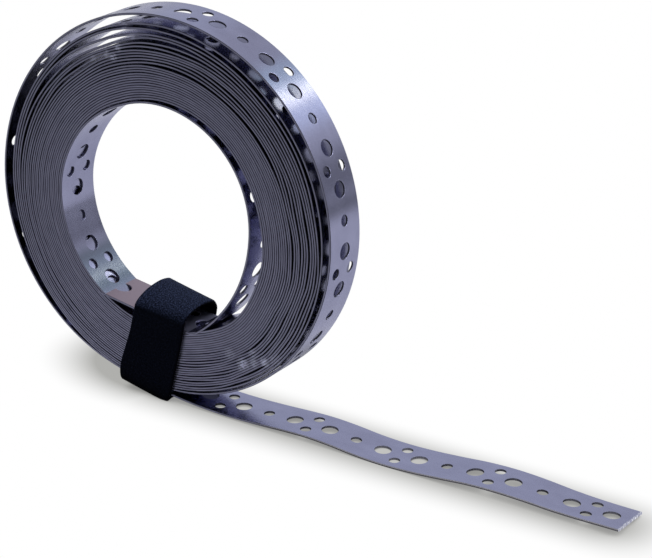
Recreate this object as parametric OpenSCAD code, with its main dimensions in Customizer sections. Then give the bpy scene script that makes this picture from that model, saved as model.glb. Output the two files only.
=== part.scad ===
// Perforated metal strap, wound into a coil that stands on its rim.
// The loose outermost turn leaves the coil at the bottom and runs out along the floor as a wavy tail.
// The innermost turn stands off the bore and ends in a free flap, which a fabric tie holds down.
// The coil's axis lies along Y, the tail runs towards +X, and the floor is Z = 0.

/* [Strap] */
// Width of the strap
strap_w = 17; // [12:0.5:26]
// Thickness of the strap
strap_t = 0.75; // [0.5:0.05:0.9]

/* [Hole pattern] */
// Diameter of the large holes
large_d = 5.5; // [4:0.1:7]
// Diameter of the small holes
small_d = 3.6; // [2.5:0.1:4.5]
// Length of one repeat of the pattern
repeat = 33.28; // [30:0.02:42]
// Distance along the strap from a side-by-side pair to the large hole on each side of it
pair_to_large = 6.65; // [6:0.05:8]
// Distance across the strap between the two holes of a pair
pair_apart = 8.3; // [6:0.1:10]

/* [Coil] */
// Number of turns in the tight body of the coil
turns = 26; // [18:1:28]
// Radial distance from one turn to the next, averaged round the coil
turn_pitch = 0.84; // [0.8:0.01:0.9]
// Diameter of the bore through the body
bore_d = 79; // [75:0.2:83]
// Free space between the body and the loose outermost turn, at the height of its axis
loose_gap = 2.41; // [2:0.01:10]
// Height above the floor at which the loose turn would pass, were it a full circle
lift = 1.84; // [1.5:0.02:4]
// Depth of the groove that shows between two turns on the coil's ends
groove_depth = 0.5; // [0.3:0.05:0.8]
// Angle round the loose turn at which a pair of holes lies, from +X towards +Z
turn_pair_angle = 81.8; // [70:0.2:100]
// Free space between the bore and the innermost turn, where it passes over the top
inner_gap = 3.825; // [3:0.025:6]

/* [Flap] */
// Free space between the flap's cut end and the turn that lines the bore
flap_gap = 3.23; // [1:0.01:20]
// Upward slope of the flap, in degrees
flap_slope = 9; // [4:0.5:12]
// Bend radius of the kink, at the middle of the thickness
kink_r = 3; // [2:0.5:6]
// Distance from the flap's cut end to its first single hole
flap_hole = 7.5; // [5:0.5:8]

/* [Tail] */
// Distance from the loose turn's axis to the cut end of the tail
tail_reach = 166.75; // [135:0.25:200]
// Distance from the loose turn's axis to the pair of holes nearest the tie
tail_pair_x = 21; // [18:0.1:28]

/* [Tie] */
// Width of the tie
tie_w = 20; // [14:0.5:24]
// Thickness of one layer of the tie
tie_t = 1.2; // [0.8:0.1:1.3]
// Free space between the tie and each edge of the strap
tie_gap = 0.3; // [0.3:0.05:0.6]
// Lean of the tie from the vertical, in degrees
tie_lean = 12; // [8:1:14]
// Distance from the loose turn's axis to the middle of the tie, level with the bore's lowest point
tie_x = -0.98; // [-3:0.02:1]
// Free space under the arch of the tie, over the flap
tie_room = 4.38; // [1:0.02:6]
// Distance from the loose turn's axis to where the tie's underside leaves the floor
tie_rest_x = -4.7; // [-6:0.1:-1]
// Thickness of the tie under the coil, as a number of its layers
tie_layers = 2.5; // [1:0.1:3]

/* [Hidden] */
smooth = 360;
hole_fn = 48;
rad = 180 / PI;

// Lengths of the hole cutters in thicknesses: square to a bend, and down through the tail's waves
punch_deep = 2.6;
tail_deep = 16;
// The loose turn's holes start this share along the peel, and stop this far past the turn's left side
punch_from = 1 / 3;
punch_past = 50;

// How far a turn that lies on the body is pressed into it, so that they fuse
press = 0.2;
lining_press = 0.5;

// Wound body: it hangs a little low in the loose turn, and the bore sits low in it in turn
bore_r = bore_d / 2;
body_r = bore_r + turns * turn_pitch;
loose_r = body_r + loose_gap + strap_t;
axis_z = loose_r + lift;
body_drop = 0.6;
bore_drop = 2.4;
bore_shift = -0.5;
body_c = [0, axis_z - body_drop];
bore_c = [bore_shift, axis_z - bore_drop];
groove_w = 0.3;

// The turns are never dead flush, so the body's ends stand proud of a single strap's edges
stagger = 0.05;
body_w = strap_w + 2 * stagger;

// Outer route: out of the body at the bottom, once round, then down onto the floor
loose_mid = loose_r - strap_t / 2;
peel_mid = body_drop + body_r + strap_t / 2 - press;
peel_from = -104;
fall_less = 3.1;
fall_mid = loose_mid - fall_less;

// Troughs and crests of the tail in turn: [x, height of the underside above the floor]
wave = [[25.4, 0.6], [57, 1.6], [84, 0], [125, 2.45], [154, 1.25], [200, 1.25]];
wave_step = 2.5;
land_x = wave[0][0] + fall_less;
land_z = axis_z - wave[0][1] - strap_t / 2;
land_mid = (land_x * land_x + land_z * land_z - fall_mid * fall_mid) / (2 * (land_z - fall_mid));
land_from = 270 - atan2(land_x, land_mid - land_z);

// Each arc of a route is [centre x, centre z, radius at mid thickness, from angle, to angle]
peel = [loose_mid - peel_mid, axis_z, peel_mid, peel_from, 0];
loose = [0, axis_z, loose_mid, 0, 180];
fall = [-fall_less, axis_z, fall_mid, 180, land_from];
land = [wave[0][0], wave[0][1] + strap_t / 2 + land_mid, land_mid, land_from, 270];
outer_arcs = [peel, loose, fall, land];

// Inner route: flap, kink, up the right side, over the top, then round the bore
inner_mid = bore_r - inner_gap - strap_t / 2;
inner_shift = -0.9;
inner_c = [inner_shift, axis_z];
merge_from = 45;
merge_way = [cos(merge_from), sin(merge_from)];
merge_p = inner_c + inner_mid * merge_way - bore_c;
lining_mid = bore_r - strap_t / 2 + lining_press;
merge_mid = (lining_mid * lining_mid - merge_p * merge_p) / (2 * (lining_mid - merge_p * merge_way));
merge_c = bore_c + merge_p - merge_mid * merge_way;
lining_from = atan2(merge_c[1] - bore_c[1], merge_c[0] - bore_c[0]);
lining_to = 282;
swing_more = 13.1;
swing_mid = inner_mid + swing_more;
swing_c = [inner_c[0] - swing_more, axis_z];

// The kink lies where the swing's outer face meets the bore
swing_out = swing_mid + strap_t / 2 - press;
swing_d = bore_c - swing_c;
swing_along = (swing_out * swing_out - bore_r * bore_r + swing_d * swing_d) / (2 * norm(swing_d));
kink_at = atan2(swing_d[1], swing_d[0]) - acos(swing_along / swing_out);
kink_c = swing_c + (swing_mid - kink_r) * [cos(kink_at), sin(kink_at)];
flap_at = -90 - flap_slope;
flap_start = kink_c + kink_r * [cos(flap_at), sin(flap_at)];
flap_way = [-cos(flap_slope), sin(flap_slope)];
flap_up = [sin(flap_slope), cos(flap_slope)];

// The flap runs across the bore and stops short of the turn that lines it
lining_in = lining_mid - strap_t / 2;
flap_d = flap_start - bore_c;
flap_b = flap_d * flap_way;
flap_len = sqrt(flap_b * flap_b - flap_d * flap_d + lining_in * lining_in) - flap_b - flap_gap;
flap_end = flap_start + flap_len * flap_way;

kink = [kink_c[0], kink_c[1], kink_r, flap_at, kink_at];
swing = [swing_c[0], swing_c[1], swing_mid, kink_at, 0];
over = [inner_c[0], inner_c[1], inner_mid, 0, merge_from];
merge = [merge_c[0], merge_c[1], merge_mid, merge_from, lining_from];
lining = [bore_c[0], bore_c[1], lining_mid, lining_from, lining_to];
inner_arcs = [kink, swing, over, merge, lining];

// Tie: its loop is drawn in its own leaning frame, about this point level with the bore's bottom
tie_c = [tie_x, bore_c[1] - bore_r];
tie_way = [sin(tie_lean), cos(tie_lean)];
tie_up = (flap_start - tie_c) * flap_up / (tie_way * flap_up) + strap_t / 2 + tie_room + tie_t;
tie_down = (tie_c - [tie_rest_x, 0]) * tie_way;
tie_round_up = 6;
tie_round_down = 2;

// Whole part: the origin is the middle of its footprint
shift_x = (loose_r - tail_reach) / 2;

// A place on a route is [x, z, angle of the strap's outward normal]
function on_arc(a, angle) = [a[0] + a[2] * cos(angle), a[1] + a[2] * sin(angle), angle];
function arc_length(a) = a[2] * (a[4] - a[3]) / rad;
function route_length(arcs, i = 0) = i == len(arcs) ? 0 : arc_length(arcs[i]) + route_length(arcs, i + 1);
function on_route(arcs, s, i = 0) =
    i == len(arcs) - 1 || s < arc_length(arcs[i])
    ? on_arc(arcs[i], arcs[i][3] + s / arcs[i][2] * rad)
    : on_route(arcs, s - arc_length(arcs[i]), i + 1);

// Places along an arc, one at least every so many degrees, both ends among them
function places(a, step) =
    let (n = ceil((a[4] - a[3]) / step))
    [for (i = [0:n]) on_arc(a, a[3] + (a[4] - a[3]) * i / n)];
function rest(list) = [for (i = [1:len(list) - 1]) list[i]];
function back(list) = [for (i = [len(list) - 1:-1:0]) list[i]];

// The tail at a distance from the axis: each crest blends into the next trough as a cosine
function wave_at(x, i = 0) = i == len(wave) - 2 || x < wave[i + 1][0] ? i : wave_at(x, i + 1);
function tail_z(x) =
    let (a = wave[wave_at(x)], b = wave[wave_at(x) + 1])
    strap_t / 2 + a[1] + (b[1] - a[1]) * (1 - cos(180 * (x - a[0]) / (b[0] - a[0]))) / 2;
function on_tail(x) = [x, tail_z(x), 270 + atan((tail_z(x + 0.1) - tail_z(x - 0.1)) / 0.2)];

// A strip of strap along places: its side outline, made as wide as the strap
function side(route, d) = [for (p = route) [p[0] + d * cos(p[2]), p[1] + d * sin(p[2])]];
module strip(route) {
    rotate([90, 0, 0])
        translate([0, 0, -strap_w / 2])
            linear_extrude(strap_w)
                polygon(concat(side(route, strap_t / 2), back(side(route, -strap_t / 2))));
}

// A strip of strap along one arc, truly round
module bend(a) {
    translate([a[0], 0, a[1]])
        rotate([90, 0, 0])
            rotate_extrude(angle = a[4] - a[3], start = a[3], $fn = smooth)
                translate([a[2] - strap_t / 2, -strap_w / 2])
                    square([strap_t, strap_w]);
}

// A cutter for one hole, square to the strap at a place, a number of thicknesses long
module punch(p, y, d, deep) {
    translate([p[0], y, p[1]])
        rotate([0, 90 - p[2], 0])
            cylinder(d = d, h = deep * strap_t, center = true, $fn = hole_fn);
}

// One repeat of the pattern, as [distance from the pair, offset across, diameter]
pattern = [
    [-pair_to_large, 0, large_d],
    [0, -pair_apart / 2, small_d],
    [0, pair_apart / 2, small_d],
    [pair_to_large, 0, large_d],
    [repeat / 2, 0, small_d]
];

// The pattern along a route, counted from a pair at one distance, kept between two distances
module punch_route(arcs, pair_s, from, to) {
    for (k = [floor((from - pair_s) / repeat) - 1:ceil((to - pair_s) / repeat) + 1], h = pattern) {
        s = pair_s + k * repeat + h[0];
        if (s > from + large_d && s < to - large_d)
            punch(on_route(arcs, s), h[1], h[2], punch_deep);
    }
}

// The tail's holes go straight down, so their axes are vertical on every wave
module punch_tail() {
    for (k = [0:ceil(tail_reach / repeat)], h = pattern) {
        x = tail_pair_x + k * repeat + h[0];
        if (x < tail_reach - large_d)
            punch([x, 0, 90], h[1], h[2], tail_deep);
    }
}

module outer_turn() {
    pair_s = arc_length(peel) + turn_pair_angle / 360 * PI * 2 * loose_mid;
    difference() {
        union() {
            bend(peel);
            bend(loose);
            strip(concat(
                places(fall, 3),
                rest(places(land, 2)),
                [for (x = [wave[0][0] + wave_step:wave_step:tail_reach - 1]) on_tail(x)],
                [[tail_reach, tail_z(tail_reach), 270]]
            ));
        }
        punch_tail();
        punch_route(
            outer_arcs, pair_s,
            punch_from * arc_length(peel), arc_length(peel) + arc_length(loose) + punch_past
        );
    }
}

module inner_turn() {
    strip(concat(
        [[flap_end[0], flap_end[1], flap_at]],
        places(kink, 12),
        rest(places(swing, 3)),
        rest(places(over, 3)),
        rest(places(merge, 2)),
        rest(places(lining, 5))
    ));
}

// The flap's first single hole sets the phase of the whole inner turn
module punch_inner() {
    hole = flap_end - flap_hole * flap_way;
    punch([hole[0], hole[1], flap_at], 0, small_d, punch_deep);
    punch_route(inner_arcs, flap_hole - flap_len - repeat / 2, large_d, route_length(inner_arcs));
}

// One groove between two turns, on both ends of the body, at a share of the way out from the bore
module groove(share) {
    c = bore_c + share * (body_c - bore_c);
    r = bore_r + share * (body_r - bore_r);
    translate([c[0], 0, c[1]])
        rotate([90, 0, 0])
            for (s = [-1, 1])
                rotate_extrude($fn = smooth)
                    polygon([
                        [r - groove_w / 2, s * (body_w / 2 + groove_depth / 5)],
                        [r + groove_w / 2, s * (body_w / 2 + groove_depth / 5)],
                        [r, s * (body_w / 2 - groove_depth)]
                    ]);
}

module wound_body() {
    difference() {
        translate([body_c[0], 0, body_c[1]])
            rotate([90, 0, 0])
                cylinder(r = body_r, h = body_w, center = true, $fn = smooth);
        translate([bore_c[0], 0, bore_c[1]])
            rotate([90, 0, 0])
                cylinder(r = bore_r, h = 2 * body_w, center = true, $fn = smooth);
        for (i = [1:turns - 1])
            groove(i / turns);
    }
}

module strap() {
    color("#8d8da6")
        translate([shift_x, 0, 0])
            union() {
                difference() {
                    union() {
                        wound_body();
                        inner_turn();
                    }
                    punch_inner();
                }
                outer_turn();
            }
}

// Rounded outline of the tie's loop, grown outwards from its inside, with its underside lowered
module loop(grow, lower) {
    half = strap_w / 2 + tie_gap + grow;
    up = tie_up - tie_t + grow;
    down = tie_down - lower;
    r_up = tie_round_up - tie_t + grow;
    r_down = tie_round_down - tie_t + grow;
    translate([-half, r_down - down])
        square([2 * half, up + down - r_up - r_down]);
    translate([r_up - half, r_down - down])
        square([2 * (half - r_up), up + down - r_down]);
    translate([r_down - half, -down])
        square([2 * (half - r_down), up + down - r_up]);
    for (s = [-1, 1]) {
        translate([s * (half - r_up), up - r_up])
            circle(r_up, $fn = hole_fn);
        translate([s * (half - r_down), r_down - down])
            circle(r_down, $fn = hole_fn);
    }
}

module tie() {
    color("#15161f")
        translate([shift_x, 0, 0])
            intersection() {
                translate([tie_c[0], 0, tie_c[1]])
                    rotate([0, tie_lean, 0])
                        rotate([90, 0, 90])
                            translate([0, 0, -tie_w / 2])
                                linear_extrude(tie_w)
                                    difference() {
                                        loop(tie_t, 0);
                                        loop(0, tie_layers * tie_t);
                                    }
                translate([-loose_r, -strap_w, 0])
                    cube([2 * loose_r, 2 * strap_w, 2 * loose_r]);
            }
}

strap();
tie();
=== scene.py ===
import math

import bmesh
import bpy
import numpy as np
from mathutils import Matrix, Vector
from mathutils.geometry import delaunay_2d_cdt
from mathutils.kdtree import KDTree


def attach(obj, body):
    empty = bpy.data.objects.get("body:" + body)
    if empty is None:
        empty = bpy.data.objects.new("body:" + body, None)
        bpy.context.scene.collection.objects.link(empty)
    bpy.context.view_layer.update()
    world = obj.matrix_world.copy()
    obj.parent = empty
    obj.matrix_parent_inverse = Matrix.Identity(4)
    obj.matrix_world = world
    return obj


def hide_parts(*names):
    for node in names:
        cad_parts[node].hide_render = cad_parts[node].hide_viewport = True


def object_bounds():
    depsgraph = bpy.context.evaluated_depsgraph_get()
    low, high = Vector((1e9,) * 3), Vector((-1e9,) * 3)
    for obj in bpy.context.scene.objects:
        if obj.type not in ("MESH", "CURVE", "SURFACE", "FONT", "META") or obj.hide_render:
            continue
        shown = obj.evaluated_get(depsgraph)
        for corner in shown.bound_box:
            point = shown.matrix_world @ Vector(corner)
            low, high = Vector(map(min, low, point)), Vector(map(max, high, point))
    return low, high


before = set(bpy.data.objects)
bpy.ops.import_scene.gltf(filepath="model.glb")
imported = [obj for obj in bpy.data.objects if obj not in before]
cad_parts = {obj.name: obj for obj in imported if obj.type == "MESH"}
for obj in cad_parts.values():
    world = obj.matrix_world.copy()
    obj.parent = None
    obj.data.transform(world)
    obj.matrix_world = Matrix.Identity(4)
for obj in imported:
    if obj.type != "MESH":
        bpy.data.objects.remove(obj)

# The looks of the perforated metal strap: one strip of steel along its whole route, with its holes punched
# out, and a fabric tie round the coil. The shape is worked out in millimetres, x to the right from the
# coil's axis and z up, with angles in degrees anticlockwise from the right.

CAD_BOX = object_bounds()
MM = 0.001
rng = np.random.default_rng(7)

# ---------- sizes of the strip and its coil
WIDTH = 17.0
THICK = 0.75
HALF_W = WIDTH / 2
HALF_T = THICK / 2
AXIS_Z = 66.34  # height of the coil's axis over the floor
TAIL_END = 166.75  # x of the tail's cut end
SHIFT_X = CAD_BOX[1][0] / MM - TAIL_END  # x of the coil's axis in the frame
REPEAT = 33.28  # length of one repeat of the holes
NEAR = 6.65  # from a pair of small holes to the large hole on each side of it, along the strip
APART = 8.3  # between the two small holes of a pair, across the strip
LARGE_R = 2.75
SMALL_R = 1.8
BORE_PAIR = 174.6  # angle of one pair of small holes in the bore
LOOSE_PAIR = 81.8  # angle of one on the loose turn
TAIL_PAIR = 54.3  # x of one on the tail
PLAIN_FROM = 2.0  # the body has no holes from this turn on, because its faces are hidden
PLAIN_TO = 24.43  # and has them again from this one
TURNS = 25.43  # turns of the wound body, from where the inner end leaves it
LEAVE = 115.0  # angle at which the inner end leaves the body
DROP = 270.0  # angle at which the outer end leaves the body


def ease(t):
    """A smooth step from 0 to 1."""
    return t * t * (3 - 2 * t)


def smooth_table(table):
    """A smooth curve through values given as {x: value}, and level beyond them."""
    xs, ys = np.array(list(table.items()), float).T
    slopes = np.gradient(ys, xs)

    def curve(x):
        i = np.clip(np.searchsorted(xs, x, side="right") - 1, 0, len(xs) - 2)
        h = xs[i + 1] - xs[i]
        t = np.clip((x - xs[i]) / h, 0, 1)
        return ((2 * t**3 - 3 * t**2 + 1) * ys[i] + (t**3 - 2 * t**2 + t) * h * slopes[i]
                + (-2 * t**3 + 3 * t**2) * ys[i + 1] + (t**3 - t**2) * h * slopes[i + 1])

    return curve


# ---------- the wound body's shape
# Radius of the innermost face and of the outermost face, by angle, as the turns settled
inside = smooth_table({115: 35.9, 132: 37.0, 154: 38.4, 180: 40.2, 195: 40.6, 225: 41.1,
                       250: 41.3, 270: 41.3, 292: 41.3, 301: 41.8, 310: 42.3, 319: 42.0,
                       326: 41.4, 334: 40.8, 350: 39.9, 360: 38.9, 380: 37.5, 405: 36.9,
                       450: 36.6, 475: 36.7})
outside_low = smooth_table({115: 61.2, 140: 61.0, 180: 60.9, 225: 61.4, 250: 62.0, 270: 62.38})
outside_top = smooth_table({270: 61.55, 285: 61.7, 300: 62.2, 315: 62.6, 330: 62.5, 345: 62.1,
                            360: 61.6, 385: 61.0, 402: 60.6, 425: 60.8, 450: 61.4, 475: 61.2})

# How far the turns stand apart, under the first turn from the outside, the second and so on, at angles
# round the coil from 270, at the bottom, anticlockwise to 630
SPACES = [
    {283: 0, 290: .25, 298: .6, 304: .55, 310: .4, 316: .3, 328: .3, 340: .45, 350: .15, 360: .75,
     370: 1.25, 380: 1.05, 392: .8, 410: 1.15, 432: 1.0, 450: .9, 462: .5, 472: .25, 490: .1, 500: .2,
     515: .05, 540: .05, 560: .35, 575: 0},
    {276: .4, 292: .55, 298: .1, 304: 0, 314: 0, 320: .25, 328: .45, 336: .2, 345: 0, 350: .3, 358: .05,
     370: .25, 380: .45, 395: .75, 410: .6, 420: .25, 432: .5, 445: .9, 455: 1.0, 470: 1.5, 480: 1.3,
     490: .7, 502: .15, 520: .25, 545: .35, 560: .2, 575: 0},
    {297: 0, 304: .5, 310: .65, 316: .2, 322: .55, 328: .55, 335: .3, 345: .2, 360: .05, 390: .2, 410: .15,
     420: .5, 430: .6, 445: .1, 455: .3, 468: .9, 478: 1.1, 490: 1.3, 500: 1.4, 510: 1.0, 520: .5, 532: .2,
     545: 0},
    {276: .5, 284: .65, 289: .4, 295: 0, 318: 0, 325: .1, 338: .4, 350: .1, 370: .1, 410: .3, 422: .4,
     432: .3, 442: .8, 452: .9, 462: .4, 475: .2, 490: .6, 500: .4, 510: .45, 520: .85, 530: .75, 542: .3,
     555: .1, 570: 0},
    {286: .1, 292: .4, 298: .25, 304: 0, 312: 0, 318: .3, 324: .5, 330: .55, 340: .1, 350: .45, 360: .5,
     370: .7, 380: .2, 390: .3, 400: .5, 412: .2, 430: .45, 440: .7, 452: .4, 465: .1, 500: .15, 510: .5,
     520: .2, 540: .5, 550: .5, 565: .2, 590: .2, 600: 0},
    {276: .4, 286: .45, 292: .5, 298: .45, 304: .05, 322: .1, 330: .3, 340: .1, 395: .05, 420: .25, 440: .2,
     450: .5, 460: .5, 475: .1, 490: .6, 500: .15, 528: .35, 545: .2, 560: .4, 575: .2, 600: .15, 615: 0},
    {288: .1, 292: .35, 298: .45, 304: .05, 310: .1, 316: .45, 322: .4, 330: .2, 345: .1, 360: .15, 400: .4,
     412: .1, 470: .1, 498: .5, 510: .45, 525: .1, 560: 0},
    {300: 0, 304: .3, 309: .05, 314: .3, 318: .55, 324: .7, 329: .7, 336: .3, 345: .1, 362: .35, 372: .5,
     385: .1, 400: .3, 412: .6, 424: .5, 436: .1, 455: .1, 475: .05, 520: .15, 560: .1, 590: .3, 605: 0},
    {296: .1, 304: .35, 311: .35, 318: .15, 326: .25, 335: .1, 365: .1, 380: .5, 392: .1, 415: .4, 432: .4,
     445: .05, 490: .05, 560: .2, 575: 0},
    {276: .5, 286: .6, 292: .3, 298: .05, 304: .3, 310: .2, 316: 0, 360: 0, 370: .1, 380: .25, 390: .3,
     402: .1, 425: .3, 440: .35, 452: .2, 470: .1, 500: 0},
    {276: .4, 286: .5, 292: .45, 298: .25, 304: .05, 310: .4, 316: .7, 322: .75, 328: .55, 335: .1,
     342: .15, 350: .5, 360: .65, 370: .3, 380: .3, 390: .7, 400: .85, 410: .65, 420: .45, 430: .6, 450: .7,
     460: .3, 475: .15, 495: 0},
    {276: .4, 286: .5, 292: .5, 298: .35, 304: .05, 314: .15, 322: .35, 328: .4, 338: .1, 350: 0},
    {290: 0, 298: .25, 304: 0},
    {310: 0, 322: .1, 334: 0},
    {276: .35, 286: .4, 292: .4, 298: .3, 304: 0},
]
SPACE_CURVES = [(min(row), max(row), smooth_table(row)) for row in SPACES]
OPENING = 8  # degrees over which a space opens before its first angle
LOW_RIGHT = 342.0  # the low right stretch of the coil ends at this angle
TIGHTER = 0.13  # there the spaces are less by this much
MOST = 0.86  # largest share of the room that the spaces above may take
MOST_LOW = 0.95  # and on the low right stretch
NEAR_BORE = 44.0  # turns inside this radius get less of the rest
CHANCE = rng.uniform(0.0, 1.0, 600)
CHANCES = 18.0  # of them in one turn


def chance(turn):
    """A slow random value along the strip, by turn number."""
    x = turn * CHANCES
    i = int(math.floor(x))
    t = ease(x - i)
    return CHANCE[i % len(CHANCE)] * (1 - t) + CHANCE[(i + 1) % len(CHANCE)] * t


def radii(angle):
    """Middle radii of the turns at one angle from 115 to 475, from the inside out."""
    low = angle < DROP + 4
    count = 25 if low else 24  # spaces between the turns
    outermost = float((outside_low if low else outside_top)(angle)) - HALF_T
    innermost = float(inside(angle)) + HALF_T
    slack = (outermost - innermost) - count * THICK
    past = angle + 360 if angle < DROP else angle
    gaps = np.zeros(count)
    for k, (start, end, size) in enumerate(SPACE_CURVES):
        if start - OPENING < past < end:
            less = TIGHTER * min(1.0, max(0.0, (LOW_RIGHT - past) / 12.0))
            open_part = min(1.0, (past - start + OPENING) / OPENING)
            gaps[count - 1 - k] = max(0.0, float(size(past)) - less) * open_part
    most = (MOST_LOW if past < LOW_RIGHT else MOST) * slack
    if gaps.sum() > most:
        gaps *= most / gaps.sum()
    # the room that is left is shared out by chance
    turn = (angle - LEAVE) / 360.0
    share = np.array([0.1 + chance(turn + k + 0.5) ** 2 for k in range(count)])
    share *= np.where(innermost + THICK * np.arange(count) < NEAR_BORE, 0.45, 1.0)
    gaps += (slack - gaps.sum()) * share / share.sum()
    return innermost + np.concatenate([[0.0], np.cumsum(THICK + gaps)])


STATIONS = 180  # angles at which the radii are worked out
SPAN = 16  # of them over which two ends of the table are made to meet
TABLE = [radii(LEAVE + 360.0 * j / STATIONS) for j in range(STATIONS + 1)]


def meet(rows, jump, turn):
    """Moves the turns at some stations, from one turn outwards, by a jump that eases out."""
    for k, row in enumerate(rows):
        row[turn:turn + len(jump)] += jump * (1 - ease(k / len(rows)))


# the same turns meet where the angle comes round, and where the outer end leaves the body
shared = min(len(TABLE[STATIONS]), len(TABLE[0]) - 1)
meet(TABLE[:SPAN], TABLE[STATIONS][:shared] - TABLE[0][1:1 + shared], 1)
drop_at = next(j for j in range(STATIONS) if len(TABLE[j]) < len(TABLE[0]))
meet(TABLE[drop_at:drop_at + SPAN // 4], TABLE[drop_at - 1][:-1] - TABLE[drop_at], 0)


def spiral_radius(turn):
    """Middle radius of the strip at a turn number, counted from where the inner end leaves."""
    k = int(math.floor(turn + 1e-9))
    f = max(0.0, turn - k) * STATIONS
    j = min(int(math.floor(f)), STATIONS - 1)
    f -= j
    here, after = TABLE[j], TABLE[j + 1]
    if k >= len(here):
        return float(here[-1])
    return float(here[k]) * (1 - f) + float(after[k] if k < len(after) else here[k]) * f


# ---------- the strip's whole route
OVER_R = 34.9 + HALF_T  # middle radius of the free inner turn over the top
OVER_X = -0.9  # and x of its centre
SWING_R = OVER_R + 13.1  # middle radius of the wider stretch up the right side
KINK = -55.1  # angle on that stretch at which the kink starts
KINK_END = -99  # angle at which the kink ends in the straight flap
KINK_R = 3.0
FLAP = 37.5  # length of the flap
FLAP_RISE = math.radians(9)
FREE = 70  # angle at which the free turn starts to ease into the body
JOINED = 35  # how far past LEAVE it has become part of the body
LOOSE = 64.5 - HALF_T  # middle radius of the loose turn over the top
START_IN = 2.1  # it starts this much nearer to the axis, at the bottom
FALL_IN = 3.1  # and its left side falls in an arc this much smaller
FOOT_X = 25.4  # where the strip has come level
FOOT_H = 0.6  # and its height over the floor there
STEP = 0.5  # between points of the route
BODY_TURNS = np.linspace(JOINED / 360.0, TURNS, int((TURNS - JOINED / 360.0) * 360))
TAIL_XS = np.arange(FOOT_X, TAIL_END + 1e-6, STEP)
TAIL_XS[-1] = TAIL_END - 0.02  # just inside the CAD box
# height of the tail's underside over the floor
tail_height = smooth_table({FOOT_X: FOOT_H, 30: 0.62, 40: 0.95, 50: 1.45, 57: 1.6, 66: 1.2,
                            75: 0.4, 84: 0.03, 95: 0.35, 105: 1.15, 115: 2.1, 125: 2.45,
                            134: 2.2, 145: 1.5, 154: 1.25, 160: 1.25, TAIL_END: 1.3})


def polar(radius, angle):
    """Points at radii and angles."""
    turn = np.radians(angle)
    return np.stack([radius * np.cos(turn), radius * np.sin(turn)], -1)


def arc(centre, radius, start, end, step=STEP):
    """Points along an arc."""
    count = max(2, int(abs(end - start) / 360.0 * 2 * math.pi * radius / step))
    return centre + polar(radius, np.linspace(start, end, count + 1))


def lengths_of(points):
    """Lengths along a line from its first point to each of its points."""
    return np.concatenate([[0], np.cumsum(np.linalg.norm(np.diff(points, axis=0), axis=1))])


def inner_end():
    """The flap, the kink, the stretch up the right side and the free turn over the top."""
    swing = np.array([OVER_X + OVER_R - SWING_R, 0.0])
    kink = swing + polar(SWING_R, KINK) - polar(KINK_R, KINK)
    flap_start = kink + polar(KINK_R, KINK_END)
    flap_end = flap_start + FLAP * np.array([-math.cos(FLAP_RISE), math.sin(FLAP_RISE)])
    count = int(FLAP / STEP)
    flap = np.array([flap_end + (flap_start - flap_end) * i / count for i in range(count + 1)])
    return [flap, arc(kink, KINK_R, KINK_END, KINK, 0.15), arc(swing, SWING_R, KINK, 0),
            arc((OVER_X, 0.0), OVER_R, 0, FREE)]


def easing_in():
    """From the free turn into the body: the radius eases into the spiral's."""
    points = []
    for angle in np.linspace(FREE, LEAVE + JOINED, 120):
        t = ease((angle - FREE) / (LEAVE + JOINED - FREE))
        turn = math.radians(angle)
        # the free turn's radius about the coil's axis at this angle
        free = OVER_X * math.cos(turn) + math.sqrt(OVER_R**2 - (OVER_X * math.sin(turn)) ** 2)
        body = spiral_radius((angle - LEAVE) / 360.0) if angle > LEAVE else float(inside(LEAVE)) + HALF_T
        points.append(polar(free * (1 - t) + body * t, angle))
    return np.array(points)


def wound_body():
    return polar(np.array([spiral_radius(turn) for turn in BODY_TURNS]), LEAVE + 360 * BODY_TURNS)


def loose_turn():
    """It stands off the body at the right, comes down on the left, and lands right of the bottom."""
    fall_r = LOOSE - FALL_IN
    land_x = FOOT_X + FALL_IN
    land_z = AXIS_Z - FOOT_H - HALF_T
    land_r = (land_x**2 + land_z**2 - fall_r**2) / (2 * (land_z - fall_r))
    landing = 270 - math.degrees(math.atan2(land_x, land_r - land_z))
    return [arc((START_IN, 0.0), LOOSE - START_IN, -90, 0), arc((0.0, 0.0), LOOSE, 0, 180),
            arc((-FALL_IN, 0.0), fall_r, 180, landing),
            arc((FOOT_X, FOOT_H + HALF_T + land_r - AXIS_Z), land_r, landing, 270)]


inner_part = inner_end() + [easing_in()]
stretches = inner_part + [wound_body()] + loose_turn()
tail = np.stack([TAIL_XS, tail_height(TAIL_XS) + HALF_T - AXIS_Z], 1)
# each stretch ends on the point at which the next one starts, and z now runs up from the floor
ROUTE = np.concatenate([points[:-1] for points in stretches] + [tail]) + np.array([0.0, AXIS_Z])
BODY_AT = sum(len(points) - 1 for points in inner_part)
OUTER_AT = BODY_AT + len(BODY_TURNS) - 1
LENGTHS = lengths_of(ROUTE)
TOTAL = float(LENGTHS[-1])


def route_normals():
    """Outward normals along the route: its smoothed direction, a quarter turn clockwise."""
    along = np.gradient(ROUTE, LENGTHS, axis=0)
    for _ in range(2):
        along[1:-1] = (along[:-2] + 2 * along[1:-1] + along[2:]) / 4
    along /= np.linalg.norm(along, axis=1)[:, None]
    return np.stack([along[:, 1], -along[:, 0]], 1)


NORMALS = route_normals()


# ---------- places on the strip, s along it
def at(s):
    """Middle of the strip and its outward normal: x, z, nx and nz."""
    x, z = (np.interp(s, LENGTHS, ROUTE[:, k]) for k in range(2))
    nx, nz = (np.interp(s, LENGTHS, NORMALS[:, k]) for k in range(2))
    size = np.hypot(nx, nz)
    return x, z, nx / size, nz / size


def body_s(turn):
    """Length along the strip at a turn number of the body."""
    return float(np.interp(turn, BODY_TURNS[:-1], LENGTHS[BODY_AT:OUTER_AT]))


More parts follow.
